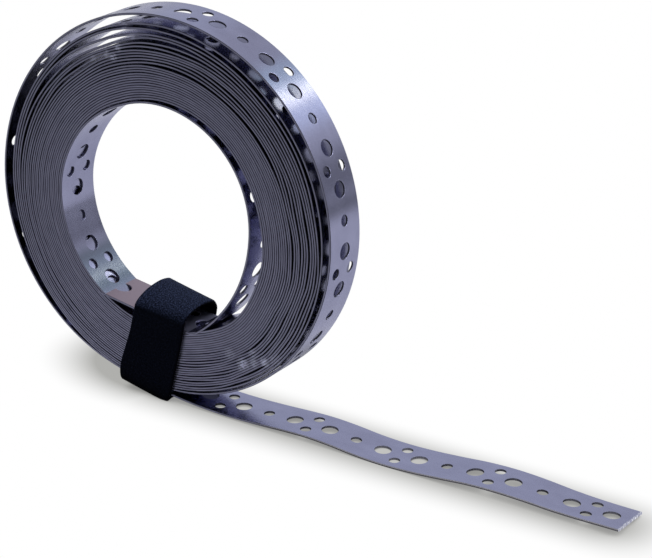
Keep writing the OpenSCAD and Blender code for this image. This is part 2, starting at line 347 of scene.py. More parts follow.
def loose_s(angle):
    """The same at an angle on the loose turn, counted on at the same rate before 0 and beyond 180."""
    return float(LENGTHS[OUTER_AT]) + (LOOSE - START_IN) * math.pi / 2 + LOOSE * math.radians(angle)


def tail_s(x):
    """The same at a place on the tail."""
    return float(np.interp(x, ROUTE[-len(TAIL_XS):, 0], LENGTHS[-len(TAIL_XS):]))


# size, start and rate of the waves that put the turns out of line
WAVES = [(rng.uniform(0.004, 0.02), rng.uniform(0, 6.28), rng.uniform(0.02, 0.07)) for _ in range(6)]
OUT_OF_LINE = 2.6  # how strong they are
TWISTED = 45.0  # length of the tail's twisted end
TWIST_SLOPE = -0.085  # slope across it where it ends
TWIST_LIFT = 0.1  # and how far it is lifted there, so that it stays off the floor
TAIL_FROM = loose_s(205)  # the holes are crisper from here on


def sideways(s):
    """How far the turns stand out of line, across the strip. The outer end lies true."""
    free = 1 / (1 + np.exp((s - loose_s(-60)) / 8.0))
    return sum(size * np.sin(start + s * rate) for size, start, rate in WAVES) * free * OUT_OF_LINE


def twist(s):
    """How far the tail's end has twisted, from 0 to 1."""
    return ease(np.clip((s - (TOTAL - TWISTED)) / TWISTED, 0, 1))


def lean(s):
    """Slope across the strip: the tail's end twists, its near corner up."""
    return TWIST_SLOPE * twist(s) + 0.006 * np.sin(s / 23.0) * (s > loose_s(170))


def place(s, y, h):
    """Points at lengths s, y across and h out from the strip's middle, in the frame."""
    x, z, nx, nz = at(s)
    height = z + nz * h + TWIST_LIFT * twist(s) + lean(s) * y
    return np.stack([x + nx * h + SHIFT_X, y + sideways(s), height], 1)


def outward(s):
    """The strip's normal on its outer side."""
    _, _, nx, nz = at(s)
    normal = np.stack([nx, -lean(s) * nz, nz], 1)
    return normal / np.linalg.norm(normal, axis=1)[:, None]


def forward(s):
    """The strip's own direction."""
    _, _, nx, nz = at(s)
    return np.stack([-nz, np.zeros_like(nx), nx], 1)


# ---------- mesh building
WELD = 0.002  # points of neighbouring patches this close are one point
SAME_TURN = 1.0  # and as far as this along the strip, so that two turns that touch stay apart
BEVEL = 0.12  # rounding of the slit edges, on the faces
ROUND = 0.15  # and on the edges
RIM = 0.2  # width of the rounded rim of a hole
CRISP_RIM = 0.06  # and of a hole in the tail
OUTSIDE = 0.982  # a face outside a hole has its middle over this share of the ring's radius away
FIRST_RING = 0.9  # from a hole's wall to the loose points round it
GRID_CLEAR = 1.3  # and to the points of the grid
GRID_SHIFT = 0.45  # by which every other row of the grid is shifted
YS = np.linspace(BEVEL - HALF_W, HALF_W - BEVEL, 9)  # places across the strip
INNER = 100.0  # added to the uv's second value on the strip's inner side
ACROSS = np.array([0, 1, 0])  # the direction across the strip
FACE, EDGE, PUNCHED = 0, 1, 2  # numbers of the strip's materials


def new_object(name, data):
    """An object in the scene, at the origin."""
    made = bpy.data.objects.new(name, data)
    bpy.context.scene.collection.objects.link(made)
    return made


def same_points(points, lengths):
    """For each point, the first point that it coincides with on its own turn."""
    tree = KDTree(len(points))
    for i, point in enumerate(points):
        tree.insert(point, i)
    tree.balance()
    first = list(range(len(points)))
    for i, point in enumerate(points):
        if first[i] == i:
            for _, j, _ in tree.find_range(point, WELD * MM):
                if j > i and first[j] == j and abs(lengths[j] - lengths[i]) < SAME_TURN:
                    first[j] = i
    return first


class Builder:
    """Collects the strip's patches, then makes them into one closed mesh."""

    def __init__(self):
        self.points, self.lengths, self.normals = [], [], []
        self.faces, self.uvs, self.materials = [], [], []

    def add(self, s, y, h, normals, faces, materials, uv_y=None):
        """A patch: its points along, across and out, their normals, and its faces and their materials."""
        base = len(self.points)
        uvs = np.stack([s, y if uv_y is None else uv_y], 1)
        self.points.extend((place(s, y, h) * MM).tolist())
        self.lengths.extend(s)
        self.materials.extend(materials)
        for face in faces:
            self.faces.append([base + i for i in face])
            self.normals.extend(normals[i] for i in face)
            self.uvs.extend(uvs[i] for i in face)

    def make(self, name):
        first = same_points(self.points, self.lengths)
        kept = sorted(set(first))
        number = {old: new for new, old in enumerate(kept)}
        faces = [[number[first[i]] for i in face] for face in self.faces]
        mesh = bpy.data.meshes.new(name)
        mesh.from_pydata([self.points[i] for i in kept], [], faces)
        mesh.polygons.foreach_set("material_index", self.materials)
        mesh.polygons.foreach_set("use_smooth", [True] * len(faces))
        mesh.uv_layers.new(name="strip").data.foreach_set("uv", np.array(self.uvs, float).ravel())
        mesh.normals_split_custom_set([tuple(normal) for normal in self.normals])
        mesh.update()
        return new_object(name, mesh)


def rim_of(s):
    """Width of the rounded rim of a hole."""
    return CRISP_RIM if s > TAIL_FROM else RIM


def spread(profile, count):
    """The columns of a profile, each value repeated for every point along it."""
    return [np.repeat(column, count) for column in np.array(profile, float).T]


def edge_walls(builder, ss):
    """The two slit edges, with their small rounding, along given lengths."""
    # places across and out, and how far the normal points out and across
    profile = [(HALF_W - BEVEL, HALF_T, 1, 0), (HALF_W, HALF_T - ROUND, 0, 1),
               (HALF_W, ROUND - HALF_T, 0, 1), (HALF_W - BEVEL, -HALF_T, -1, 0)]
    count = len(ss)
    y, h, out, across = spread(profile, count)
    s = np.tile(ss, len(profile))
    for side in (-1, 1):
        normals = outward(s) * out[:, None] + side * across[:, None] * ACROSS
        faces = []
        for j in range(len(profile) - 1):
            for i in range(j * count, (j + 1) * count - 1):
                face = [i, i + 1, i + count + 1, i + count]
                faces.append(face[::-1] if side > 0 else face)
        builder.add(s, side * y, h, normals, faces, [EDGE] * len(faces), side * (HALF_W + h))


def plain_surfaces(builder, ss):
    """The outer and inner faces of a stretch without holes."""
    count = len(ss)
    middle = YS[1:-1]
    extra = len(middle)
    s_all = np.concatenate([ss, ss, np.full(extra, ss[0]), np.full(extra, ss[-1])])
    y_all = np.concatenate([np.full(count, YS[0]), np.full(count, YS[-1]), middle, middle])
    for sign in (1, -1):
        faces = []
        for i in range(count - 1):
            # the first and last faces take up the points across the punched cells beside them
            start = list(range(2 * count, 2 * count + extra)) if i == 0 else []
            end = list(range(2 * count + 2 * extra - 1, 2 * count + extra - 1, -1)) if i == count - 2 else []
            face = [i] + start + [count + i, count + i + 1] + end + [i + 1]
            faces.append(face if sign > 0 else face[::-1])
        builder.add(s_all, y_all, sign * HALF_T, outward(s_all) * sign, faces, [FACE] * len(faces))


def ring(hole, wider, count, turn=0.0):
    """Points round a hole, wider than it by a margin, turned by a part of their spacing."""
    s, y, radius = hole
    angles = [2 * math.pi * (i + turn) / count for i in range(count)]
    return [(s + (radius + wider) * math.cos(a), y + (radius + wider) * math.sin(a)) for a in angles]


def clear(s, y, holes, margin):
    """Whether a place is outside every hole by a margin."""
    return all(math.hypot(s - hole_s, y - hole_y) > radius + margin for hole_s, hole_y, radius in holes)


def around(hole):
    """Number of points round a hole."""
    return 24 if hole[2] > 2 else 18


def cell_faces(ss, holes):
    """The faces of one cell of strip, with its holes left out: (s, y) points and triangles."""
    points = [(s, YS[0]) for s in ss]
    points += [(ss[-1], y) for y in YS[1:-1]]
    points += [(s, YS[-1]) for s in ss[::-1]]
    points += [(ss[0], y) for y in YS[::-1][1:-1]]
    border = len(points)
    edges = [(i, (i + 1) % border) for i in range(border)]
    for hole in holes:
        start = len(points)
        count = around(hole)
        points += ring(hole, rim_of(hole[0]), count)
        edges += [(start + i, start + (i + 1) % count) for i in range(count)]
        for s, y in ring(hole, FIRST_RING, count // 2, 0.5):
            if ss[0] + 0.4 < s < ss[-1] - 0.4 and abs(y) < HALF_W - 0.5 and clear(s, y, holes, 0.5):
                points.append((s, y))
    for i, s in enumerate(ss[1:-1]):
        for y in YS[1:-1] + GRID_SHIFT * (i % 2):
            if abs(y) < HALF_W - 0.8 and clear(s, y, holes, GRID_CLEAR):
                points.append((s, y))
    result = delaunay_2d_cdt([Vector(point) for point in points], edges, [], 0, 1e-5)
    points = np.array([tuple(point) for point in result[0]])
    faces = []
    for face in result[2]:
        s, y = points[list(face)].mean(0)
        if all(math.hypot(s - hole_s, y - hole_y) > OUTSIDE * (radius + rim_of(hole_s))
               for hole_s, hole_y, radius in holes):
            faces.append(list(face))
    return points, faces


def hole_wall(builder, hole):
    """The wall of one hole, with its rounded rims."""
    hole_s, hole_y, radius = hole
    count = around(hole)
    rim = rim_of(hole_s)
    dip = HALF_T - min(BEVEL, rim)
    # radius, place out, and how far the normal points out
    profile = [(radius + rim, HALF_T, 1), (radius, dip, 0), (radius, -dip, 0), (radius + rim, -HALF_T, -1)]
    r, h, out = spread(profile, count)
    angles = np.tile([2 * math.pi * i / count for i in range(count)], len(profile))
    s = hole_s + r * np.cos(angles)
    y = hole_y + r * np.sin(angles)
    inwards = -(forward(s) * np.cos(angles)[:, None] + ACROSS * np.sin(angles)[:, None])
    normals = outward(s) * out[:, None] + inwards * (1 - abs(out))[:, None]
    faces = []
    for j in range(len(profile) - 1):
        for i in range(count):
            here = j * count + i
            after = j * count + (i + 1) % count
            faces.append([here, here + count, after + count, after])
    edge = PUNCHED if hole_s > TAIL_FROM else FACE
    builder.add(s, y, h, normals, faces, [edge] * count + [PUNCHED] * count + [edge] * count)


def punched_cell(builder, start, end, holes):
    """One cell of strip, with its holes (s, y, radius) punched out."""
    ss = np.linspace(start, end, max(2, int(round((end - start) / 2.0))) + 1)
    places, faces = cell_faces(ss, holes)
    s, y = places.T
    # the triangles go anticlockwise in (s, y), which faces the inner side
    numbers = [FACE] * len(faces)
    builder.add(s, y, HALF_T, outward(s), [face[::-1] for face in faces], numbers)
    builder.add(s, y, -HALF_T, -outward(s), faces, numbers, y + INNER)
    edge_walls(builder, ss)
    for hole in holes:
        hole_wall(builder, hole)


def end_cap(builder, s, sign):
    """A cut end of the strip: the flap's, with sign -1, or the tail's, with 1."""
    corner = HALF_T - ROUND
    ys = np.concatenate([YS, [HALF_W, HALF_W], YS[::-1], [-HALF_W, -HALF_W]])
    hs = np.concatenate([np.full(len(YS), HALF_T), [corner, -corner],
                         np.full(len(YS), -HALF_T), [-corner, corner]])
    ss = np.full(len(ys), s)
    face = list(range(len(ys)))
    builder.add(ss, ys, hs, forward(ss) * sign, [face if sign > 0 else face[::-1]],
                [FACE if sign > 0 else PUNCHED])


def pattern_holes(pair_s, start, end, margin=3.2):
    """The holes of a stretch, as (s, y, radius), from the place of one pair of small holes."""
    holes = []
    first = int(math.floor((start - pair_s) / REPEAT)) - 1
    last = int(math.ceil((end - pair_s) / REPEAT)) + 1
    for k in range(first, last + 1):
        middle = pair_s + k * REPEAT
        for ds, y, radius in ((-NEAR, 0, LARGE_R), (0, -APART / 2, SMALL_R), (0, APART / 2, SMALL_R),
                              (NEAR, 0, LARGE_R), (REPEAT / 2, 0, SMALL_R)):
            if start + margin < middle + ds < end - margin:
                holes.append((middle + ds, y, radius))
    return holes


def punched_run(builder, start, end, holes):
    """Splits a stretch into cells between its holes and builds each."""
    merged = []
    for low, high in sorted((s - radius - 0.6, s + radius + 0.6) for s, y, radius in holes):
        if merged and low < merged[-1][1]:
            merged[-1][1] = max(merged[-1][1], high)
        else:
            merged.append([low, high])
    # a cut goes midway between two groups of holes, and over 14 mm past the last cut
    cuts = [start]
    for (_, before), (after, _) in zip(merged[:-1], merged[1:]):
        middle = (before + after) / 2
        if middle - cuts[-1] > 14:
            cuts.append(middle)
    cuts.append(end)
    for low, high in zip(cuts[:-1], cuts[1:]):
        punched_cell(builder, low, high, [hole for hole in sorted(holes) if low < hole[0] < high])


def make_strap():
    builder = Builder()
    start = body_s(PLAIN_FROM)
    end = body_s(PLAIN_TO)
    # inner stretch: flap, free turn and the first two turns of the body
    bore_pair = body_s((BORE_PAIR - LEAVE) / 360.0)
    punched_run(builder, 0, start, pattern_holes(bore_pair, 0, start))
    end_cap(builder, 0.0, -1)
    # middle of the body, in 170 steps a turn
    ss = np.linspace(start, end, int((PLAIN_TO - PLAIN_FROM) * 170))
    plain_surfaces(builder, ss)
    edge_walls(builder, ss)
    # outer stretch: last turn of the body, loose turn and tail
    join = loose_s(180) + 60.0  # the tail's own pattern takes over here
    holes = pattern_holes(loose_s(LOOSE_PAIR), end, join)
    holes += pattern_holes(tail_s(TAIL_PAIR) - REPEAT, join, TOTAL, 2.9)
    punched_run(builder, end, TOTAL, holes)
    end_cap(builder, TOTAL, 1)
    return builder.make("strap_strip")


strap = make_strap()
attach(strap, "root")
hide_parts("strap")


# ---------- making of materials
class Nodes:
    """Fills a node tree. An input is given a plain value or the output of another node."""

    def __init__(self, tree):
        self.tree = tree
        tree.nodes.clear()

    def fill(self, target, inputs):
        for name, value in inputs.items():
            socket = target.inputs[name]
            if isinstance(value, bpy.types.NodeSocket):
                self.tree.links.new(value, socket)
            elif socket.type == "RGBA":
                socket.default_value = (*value, 1)
            else:
                socket.default_value = value

    def add(self, kind, inputs=(), **settings):
        """A new node, with its settings and then its inputs."""
        made = self.tree.nodes.new("ShaderNode" + kind)
        for name, value in settings.items():
            setattr(made, name, value)
        self.fill(made, dict(inputs))
        return made

    def maths(self, operation, *values, clamp=False):
        """One Math node for each two values, from the left."""
        result = values[0]
        for value in values[1:]:
            result = self.add("Math", {0: result, 1: value}, operation=operation, use_clamp=clamp).outputs[0]
        return result

    def single(self, operation, value):
        """A Math node of one value."""
        return self.add("Math", {0: value}, operation=operation).outputs[0]

    def mix(self, factor, a, b, **settings):
        """a where the factor is 0, b where it is 1."""
        settings = {"data_type": "RGBA", **settings}
        return self.add("Mix", {"Factor": factor, "A": a, "B": b}, **settings).outputs["Result"]

    def noise(self, vector, scale, detail, roughness):
        inputs = {"Vector": vector, "Scale": scale, "Detail": detail, "Roughness": roughness}
        return self.add("TexNoise", inputs).outputs["Fac"]

    def stretched(self, vector, x, y):
        """A vector with its first two values scaled."""
        return self.add("Mapping", {"Vector": vector, "Scale": (x, y, 1)}).outputs[0]

    def falloff(self, value, low, high, at_low=0.0, at_high=1.0, interpolation="SMOOTHSTEP"):
        """at_low up to the low end of a value, at_high from its high end on, and a smooth step between."""
        inputs = {"Value": value, "From Min": low, "From Max": high, "To Min": at_low, "To Max": at_high}
        return self.add("MapRange", inputs, interpolation_type=interpolation).outputs[0]

    def between(self, value, out_low, in_low, in_high, out_high):
        """1 inside a range of a value, 0 outside a wider one."""
        return self.maths("MULTIPLY", self.falloff(value, out_low, in_low),
                          self.falloff(value, in_high, out_high, 1.0, 0.0))

    def distance(self, vector, point):
        return self.add("VectorMath", {0: vector, 1: point}, operation="DISTANCE").outputs["Value"]

    def split(self, vector):
        """The three values of a vector."""
        return self.add("SeparateXYZ", {0: vector}).outputs

    def seen_as(self, seen, other):
        """One shader for camera rays and another for all other rays."""
        camera_ray = self.add("LightPath").outputs["Is Camera Ray"]
        return self.add("MixShader", {0: camera_ray, 1: other, 2: seen}).outputs[0]


def new_material(name):
    """A material with a Principled shader: the material, its nodes, the shader and the output."""
    made = bpy.data.materials.new(name)
    made.use_nodes = True
    nodes = Nodes(made.node_tree)
    shader = nodes.add("BsdfPrincipled")
    return made, nodes, shader, nodes.add("OutputMaterial", {0: shader.outputs[0]})


def steel():
    """The faces of the strap: zinc, with brushed streaks and clouds, and painted shade deep in the slit."""
    made, nodes, shader, _ = new_material("strap_face")
    strip = nodes.add("UVMap", uv_map="strip").outputs[0]
    s, y, _ = nodes.split(strip)
    streaks = nodes.noise(nodes.stretched(strip, 0.02, 2.2), 3.0, 6.0, 0.65)
    clouds = nodes.noise(nodes.stretched(strip, 0.05, 0.08), 2.0, 4.0, 0.6)
    grain = nodes.noise(strip, 2.4, 3.0, 0.7)
    # slow cloudiness of the zinc, with a fine grain over it
    fine = nodes.add("Math", {0: grain, 1: 0.9, 2: -0.45}, operation="MULTIPLY_ADD").outputs[0]
    colour = nodes.mix(nodes.maths("ADD", clouds, fine, clamp=True),
                       (0.205, 0.207, 0.315), (0.315, 0.32, 0.465))
    # the flap is warmer, and satin
    colour = nodes.mix(nodes.falloff(s, 19.0, 27.0, 1.0, 0.0), colour, (0.29, 0.235, 0.28))
    gloss = nodes.falloff(streaks, 0.3, 0.7, 0.14, 0.23, "LINEAR")
    rough = nodes.mix(nodes.falloff(s, 40.0, 55.0, 1.0, 0.0), gloss, 0.46, data_type="FLOAT")
    # the cut end is burred: bright torn specks
    cut = nodes.falloff(s, TOTAL - 1.0, TOTAL - 0.1, -0.66, -0.47)
    torn = nodes.maths("ADD", nodes.noise(strip, 1.7, 4.0, 0.8), cut)
    specks = nodes.maths("MULTIPLY", torn, 9.0, clamp=True)
    specks = nodes.maths("MULTIPLY", specks, nodes.maths("GREATER_THAN", s, TOTAL - 1.0))
    colour = nodes.mix(specks, colour, (1.0, 1.0, 1.0))
    # the colour is darker in a cloud low on the left of the bore
    cloud = nodes.between(s, *(body_s(angle / 360) for angle in (94, 102, 116, 126)))
    colour = nodes.mix(cloud, colour, (0.12, 0.135, 0.185))
    # painted shade: deep in the slit under the loose turn both of its sides are darkened
    within = nodes.between(s, *(loose_s(angle) for angle in (134, 146, 205, 225)))
    above = nodes.maths("MULTIPLY", within, nodes.maths("GREATER_THAN", y, INNER / 2))
    below = nodes.between(s, *(body_s(turn) for turn in (24.5, 24.56, 24.85, 24.95)))
    dark = nodes.maths("MAXIMUM", above, nodes.maths("MULTIPLY", below, 0.5))
    colour = nodes.mix(dark, colour, (0.05, 0.05, 0.07))
    bump = nodes.add("Bump", {"Strength": 0.1, "Distance": 0.0002, "Height": streaks})
    nodes.fill(shader, {"Base Color": colour, "Metallic": 1.0, "Roughness": rough,
                        "Specular Tint": (0.82, 0.82, 0.9), "Normal": bump.outputs[0]})
    return made


# Painted glints, where light comes through the holes between the turns: angle, radius, reach and strength
GLINTS = [(-54.5, 56.0, 3.0, 0.8), (-46.0, 59.0, 2.2, 0.85), (-48.0, 54.5, 2.4, 0.4),
          (-57.5, 51.0, 2.6, 0.22), (-42.0, 60.8, 3.0, 0.3), (-50.0, 57.3, 2.2, 0.45),
          (108.0, 54.2, 2.2, 0.8), (111.0, 51.4, 2.0, 0.8), (113.5, 52.8, 1.8, 0.5),
          (103.5, 60.3, 2.2, 0.6), (120.0, 52.8, 1.8, 0.35), (101.0, 57.0, 1.7, 0.45)]


def slit_edge():
    """The slit edges: tone that varies at random along them, and painted shade on their rounded corners."""
    made, nodes, shader, _ = new_material("strap_edge")
    strip = nodes.add("UVMap", uv_map="strip").outputs[0]
    s, y, _ = nodes.split(strip)
    worn = nodes.noise(nodes.stretched(strip, 0.08, 3.0), 2.0, 5.0, 0.7)
    colour = nodes.mix(nodes.falloff(worn, 0.3, 0.7, 0.0, 1.0, "LINEAR"),
                       (0.18, 0.18, 0.265), (0.47, 0.47, 0.66))
    # painted shade on the rounded corners of each edge, deeper from the 14th turn outwards
    height = nodes.maths("SUBTRACT", nodes.single("ABSOLUTE", y), HALF_W)
    corner = nodes.falloff(s, body_s(7), body_s(14), 0.32, 0.13)
    shade = nodes.falloff(nodes.single("ABSOLUTE", height), 0.11, 0.33, 1.0, corner)
    colour = nodes.mix(1.0, colour, shade, blend_type="MULTIPLY")
    # painted glints: soft bright patches, low on the right and high on the left, broken up into flecks
    position = nodes.add("TexCoord").outputs["Object"]
    glint_patches = []
    for angle, radius, reach, strength in GLINTS:
        x, z = polar(radius, angle)
        away = nodes.distance(position, ((SHIFT_X + x) * MM, -HALF_W * MM, (AXIS_Z + z) * MM))
        glint_patches.append(nodes.falloff(away, 0.25 * reach * MM, reach * MM, strength, 0.0))
    flecks = nodes.falloff(nodes.noise(position, 1000.0, 3.0, 0.6), 0.36, 0.56, 0.15, 1.0)
    glint = nodes.maths("MULTIPLY", nodes.maths("MAXIMUM", *glint_patches), flecks)
    colour = nodes.mix(glint, colour, (0.76, 0.78, 1.0))
    # on the tail the edge is painted lighter, with painted shade towards its outer, lower side
    tail_edge_light_and_shade = nodes.mix(nodes.falloff(height, -0.28, 0.0), (0.42, 0.41, 0.43), (0.07, 0.065, 0.07))
    colour = nodes.mix(nodes.falloff(s, tail_s(28), tail_s(48), 0.0, 0.9), colour, tail_edge_light_and_shade)
    nodes.fill(shader, {"Base Color": colour, "Metallic": 0.9, "Roughness": 0.4})
    return made


def punched_wall():
    """The walls of the holes: dark torn metal."""
    made, nodes, shader, _ = new_material("strap_punch")
    torn = nodes.noise(nodes.add("TexCoord").outputs["Object"], 900.0, 4.0, 0.7)
    colour = nodes.mix(torn, (0.07, 0.07, 0.09), (0.20, 0.20, 0.24))
    nodes.fill(shader, {"Base Color": colour, "Metallic": 0.9, "Roughness": 0.35})
    return made


# in the order of FACE, EDGE and PUNCHED
for make_material in (steel, slit_edge, punched_wall):
    strap.data.materials.append(make_material())


def fabric():
    """The tie's black webbing, with a fine weave, and painted light on its pile where it faces up."""
    made, nodes, shader, _ = new_material("tie_webbing")
    weave = nodes.add("UVMap", uv_map="weave").outputs[0]
    threads = [nodes.add("TexWave", {"Vector": weave, "Scale": 0.55, "Distortion": 0.6, "Detail": 1.0},
                         bands_direction=direction).outputs["Fac"] for direction in "XY"]
    tufts = nodes.noise(weave, 1.6, 5.0, 0.7)
    colour = nodes.mix(tufts, (0.0001, 0.0001, 0.0006), (0.0007, 0.0009, 0.0036))
    # painted light: the pile is lighter where it faces up
    _, _, up = nodes.split(nodes.add("NewGeometry").outputs["Normal"])
    pile = nodes.falloff(nodes.noise(weave, 1.9, 3.0, 0.8), 0.42, 0.66, 0.1, 1.0)
    painted_top_light = nodes.maths("MULTIPLY", nodes.falloff(up, -0.25, 0.8), pile)
    colour = nodes.mix(painted_top_light, colour, (0.045, 0.06, 0.125))
    height = nodes.maths("ADD", nodes.maths("MULTIPLY", *threads), tufts)
    bump = nodes.add("Bump", {"Strength": 0.5, "Distance": 0.0003, "Height": height})
    nodes.fill(shader, {"Base Color": colour, "Roughness": 0.9, "Specular IOR Level": 0.02,
                        "Sheen Weight": 0.01, "Sheen Roughness": 0.4, "Normal": bump.outputs[0]})
    return made


# ---------- the tie
TIE_LEAN = math.radians(12)
TIE_X = -1.5  # the middle of the tie's leaning frame
TIE_Z = 22.0
BAND = 20.0  # width of the band
LAYER = 1.2  # thickness of one layer
BAND_EDGE = 0.45  # width of its rounded edges
FLARE = 1.3  # how far it flares
FLARE_TO = -17.0  # v, up in the leaning frame, where it has done so
NARROWER = 0.11  # the share by which it narrows below that
NARROW_FROM = -15.0
NARROW_TO = -22.0
DOUBLED_BELOW = -17  # v under which it is over two layers thick
DOUBLED = 2.4
OFF_FLOOR = 0.02  # lowest that it comes
ROUND_LOOP = 160  # points round the loop


def tie_outline(u):
    """Outer side of the band's loop as (y, v) points, v up in the leaning frame, u across the band."""
    t = (u / (BAND / 2) + 1) / 2  # 0 at the left edge, 1 at the right
    left = [(-9.95, 6.5), (-9.9, 8.3), (-8.3, 10.1), (-5.6, 11.6), (-3, 12.4), (0.4, 12.9), (4, 12.9),
            (7.8, 12.1), (9.5, 10.6), (9.9, 8.0)]
    right = [(-10, 8.5), (-9.9, 10.6), (-8.8, 12.8), (-5.7, 14.2), (-2.2, 14.6), (1.5, 14.5), (4.5, 14.0),
             (6.6, 13.1), (9.0, 10.6), (9.9, 7.6)]
    arch = [((1 - t) * a[0] + t * b[0], (1 - t) * a[1] + t * b[1]) for a, b in zip(left, right)]
    corner = [(9.95, 0), (9.95, -8), (9.9, -16), (9.6, -20.2), (8.6, -21.7), (6.5, -22.2)]
    return arch + corner + [(0, -22.2)] + [(-y, v) for y, v in corner[::-1]]


def smooth_loop(points, count):
    """A closed Catmull-Rom curve through the points, evenly divided, and its length."""
    places = np.array(points, float)
    curve = []
    for i in range(len(places)):
        p0, p1, p2, p3 = (places[(i + k) % len(places)] for k in (-1, 0, 1, 2))
        for t in (j / 8 for j in range(8)):
            curve.append(0.5 * ((2 * p1) + (-p0 + p2) * t + (2 * p0 - 5 * p1 + 4 * p2 - p3) * t**2
                                + (-p0 + 3 * p1 - 3 * p2 + p3) * t**3))
    curve = np.array(curve + [curve[0]])
    lengths = lengths_of(curve)
    even = np.linspace(0, lengths[-1], count + 1)[:-1]
    return np.stack([np.interp(even, lengths, curve[:, k]) for k in range(2)], 1), lengths[-1]


def tie_place(u, loop):
    """The points of one loop of the band in space."""
    points = []
    for y, v in loop:
        # the band flares a little to the left on its way down, and its lower corners are rounded
        flared = u - FLARE * ease(min(1.0, max(0.0, v / FLARE_TO))) * max(0.0, -u / (BAND / 2))
        down = (NARROW_FROM - v) / (NARROW_FROM - NARROW_TO)
        flared *= 1 - NARROWER * min(1.0, max(0.0, down)) ** 2
        x = TIE_X + flared * math.cos(TIE_LEAN) + v * math.sin(TIE_LEAN)
        z = TIE_Z - flared * math.sin(TIE_LEAN) + v * math.cos(TIE_LEAN)
        points.append(((x + SHIFT_X) * MM, y * MM, max(z, OFF_FLOOR) * MM))
    return points


def tie_loops(u):
    """The outer and inner loops of the band at a place across it."""
    loop, _ = smooth_loop(tie_outline(u), ROUND_LOOP)
    along = np.roll(loop, -1, 0) - np.roll(loop, 1, 0)
    along /= np.linalg.norm(along, axis=1)[:, None]
    normal = np.stack([along[:, 1], -along[:, 0]], 1)
    if ((loop - loop.mean(0)) * normal).sum() < 0:
        normal = -normal
    # the edges are rounded
    inset = min(1.0, (BAND / 2 - abs(u)) / BAND_EDGE)
    pinch = (1 - math.sqrt(max(0, 1 - (1 - inset) ** 2))) * LAYER / 2
    thick = np.where(loop[:, 1] < DOUBLED_BELOW, DOUBLED * LAYER, LAYER)
    return tie_place(u, loop - normal * pinch), tie_place(u, loop - normal * (thick[:, None] - pinch))


def make_tie():
    near_edge = BAND / 2 - BAND_EDGE * np.array([1.0, 0.3])
    columns = np.unique(np.concatenate([np.linspace(-BAND / 2, BAND / 2, 25), near_edge, -near_edge]))
    loops = [tie_loops(u) for u in columns]
    points = [point for layer in (0, 1) for pair in loops for point in pair[layer]]
    lengths = np.linspace(0, smooth_loop(tie_outline(0), ROUND_LOOP)[1], ROUND_LOOP + 1)
    faces, uvs = [], []

    def add_face(corners, wall=0):
        """A face from its corners: column, place round the loop, and layer, 0 outside and 1 inside."""
        faces.append([(layer * len(columns) + k) * ROUND_LOOP + j % ROUND_LOOP for k, j, layer in corners])
        uvs.extend((columns[k] + wall * layer, lengths[j]) for k, j, layer in corners)

    last = len(columns) - 1
    for k in range(last):
        for j in range(ROUND_LOOP):
            add_face([(k, j, 0), (k, j + 1, 0), (k + 1, j + 1, 0), (k + 1, j, 0)])
            add_face([(k, j, 1), (k + 1, j, 1), (k + 1, j + 1, 1), (k, j + 1, 1)])
    for j in range(ROUND_LOOP):
        add_face([(0, j, 0), (0, j + 1, 0), (0, j + 1, 1), (0, j, 1)], 1)
    for j in range(ROUND_LOOP):
        add_face([(last, j, 1), (last, j + 1, 1), (last, j + 1, 0), (last, j, 0)], 1)
    mesh = bpy.data.meshes.new("tie_band")
    mesh.from_pydata(points, [], faces)
    mesh.uv_layers.new(name="weave").data.foreach_set("uv", np.array(uvs, float).ravel())
    mesh.polygons.foreach_set("use_smooth", [True] * len(faces))
    mesh.update()
    mesh.validate()
    editor = bmesh.new()
    editor.from_mesh(mesh)
    bmesh.ops.remove_doubles(editor, verts=editor.verts, dist=WELD * MM)
    bmesh.ops.recalc_face_normals(editor, faces=editor.faces)
    editor.to_mesh(mesh)
    editor.free()
    return new_object("tie_band", mesh)


tie = make_tie()
tie.data.materials.append(fabric())
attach(tie, "root")
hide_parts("tie")


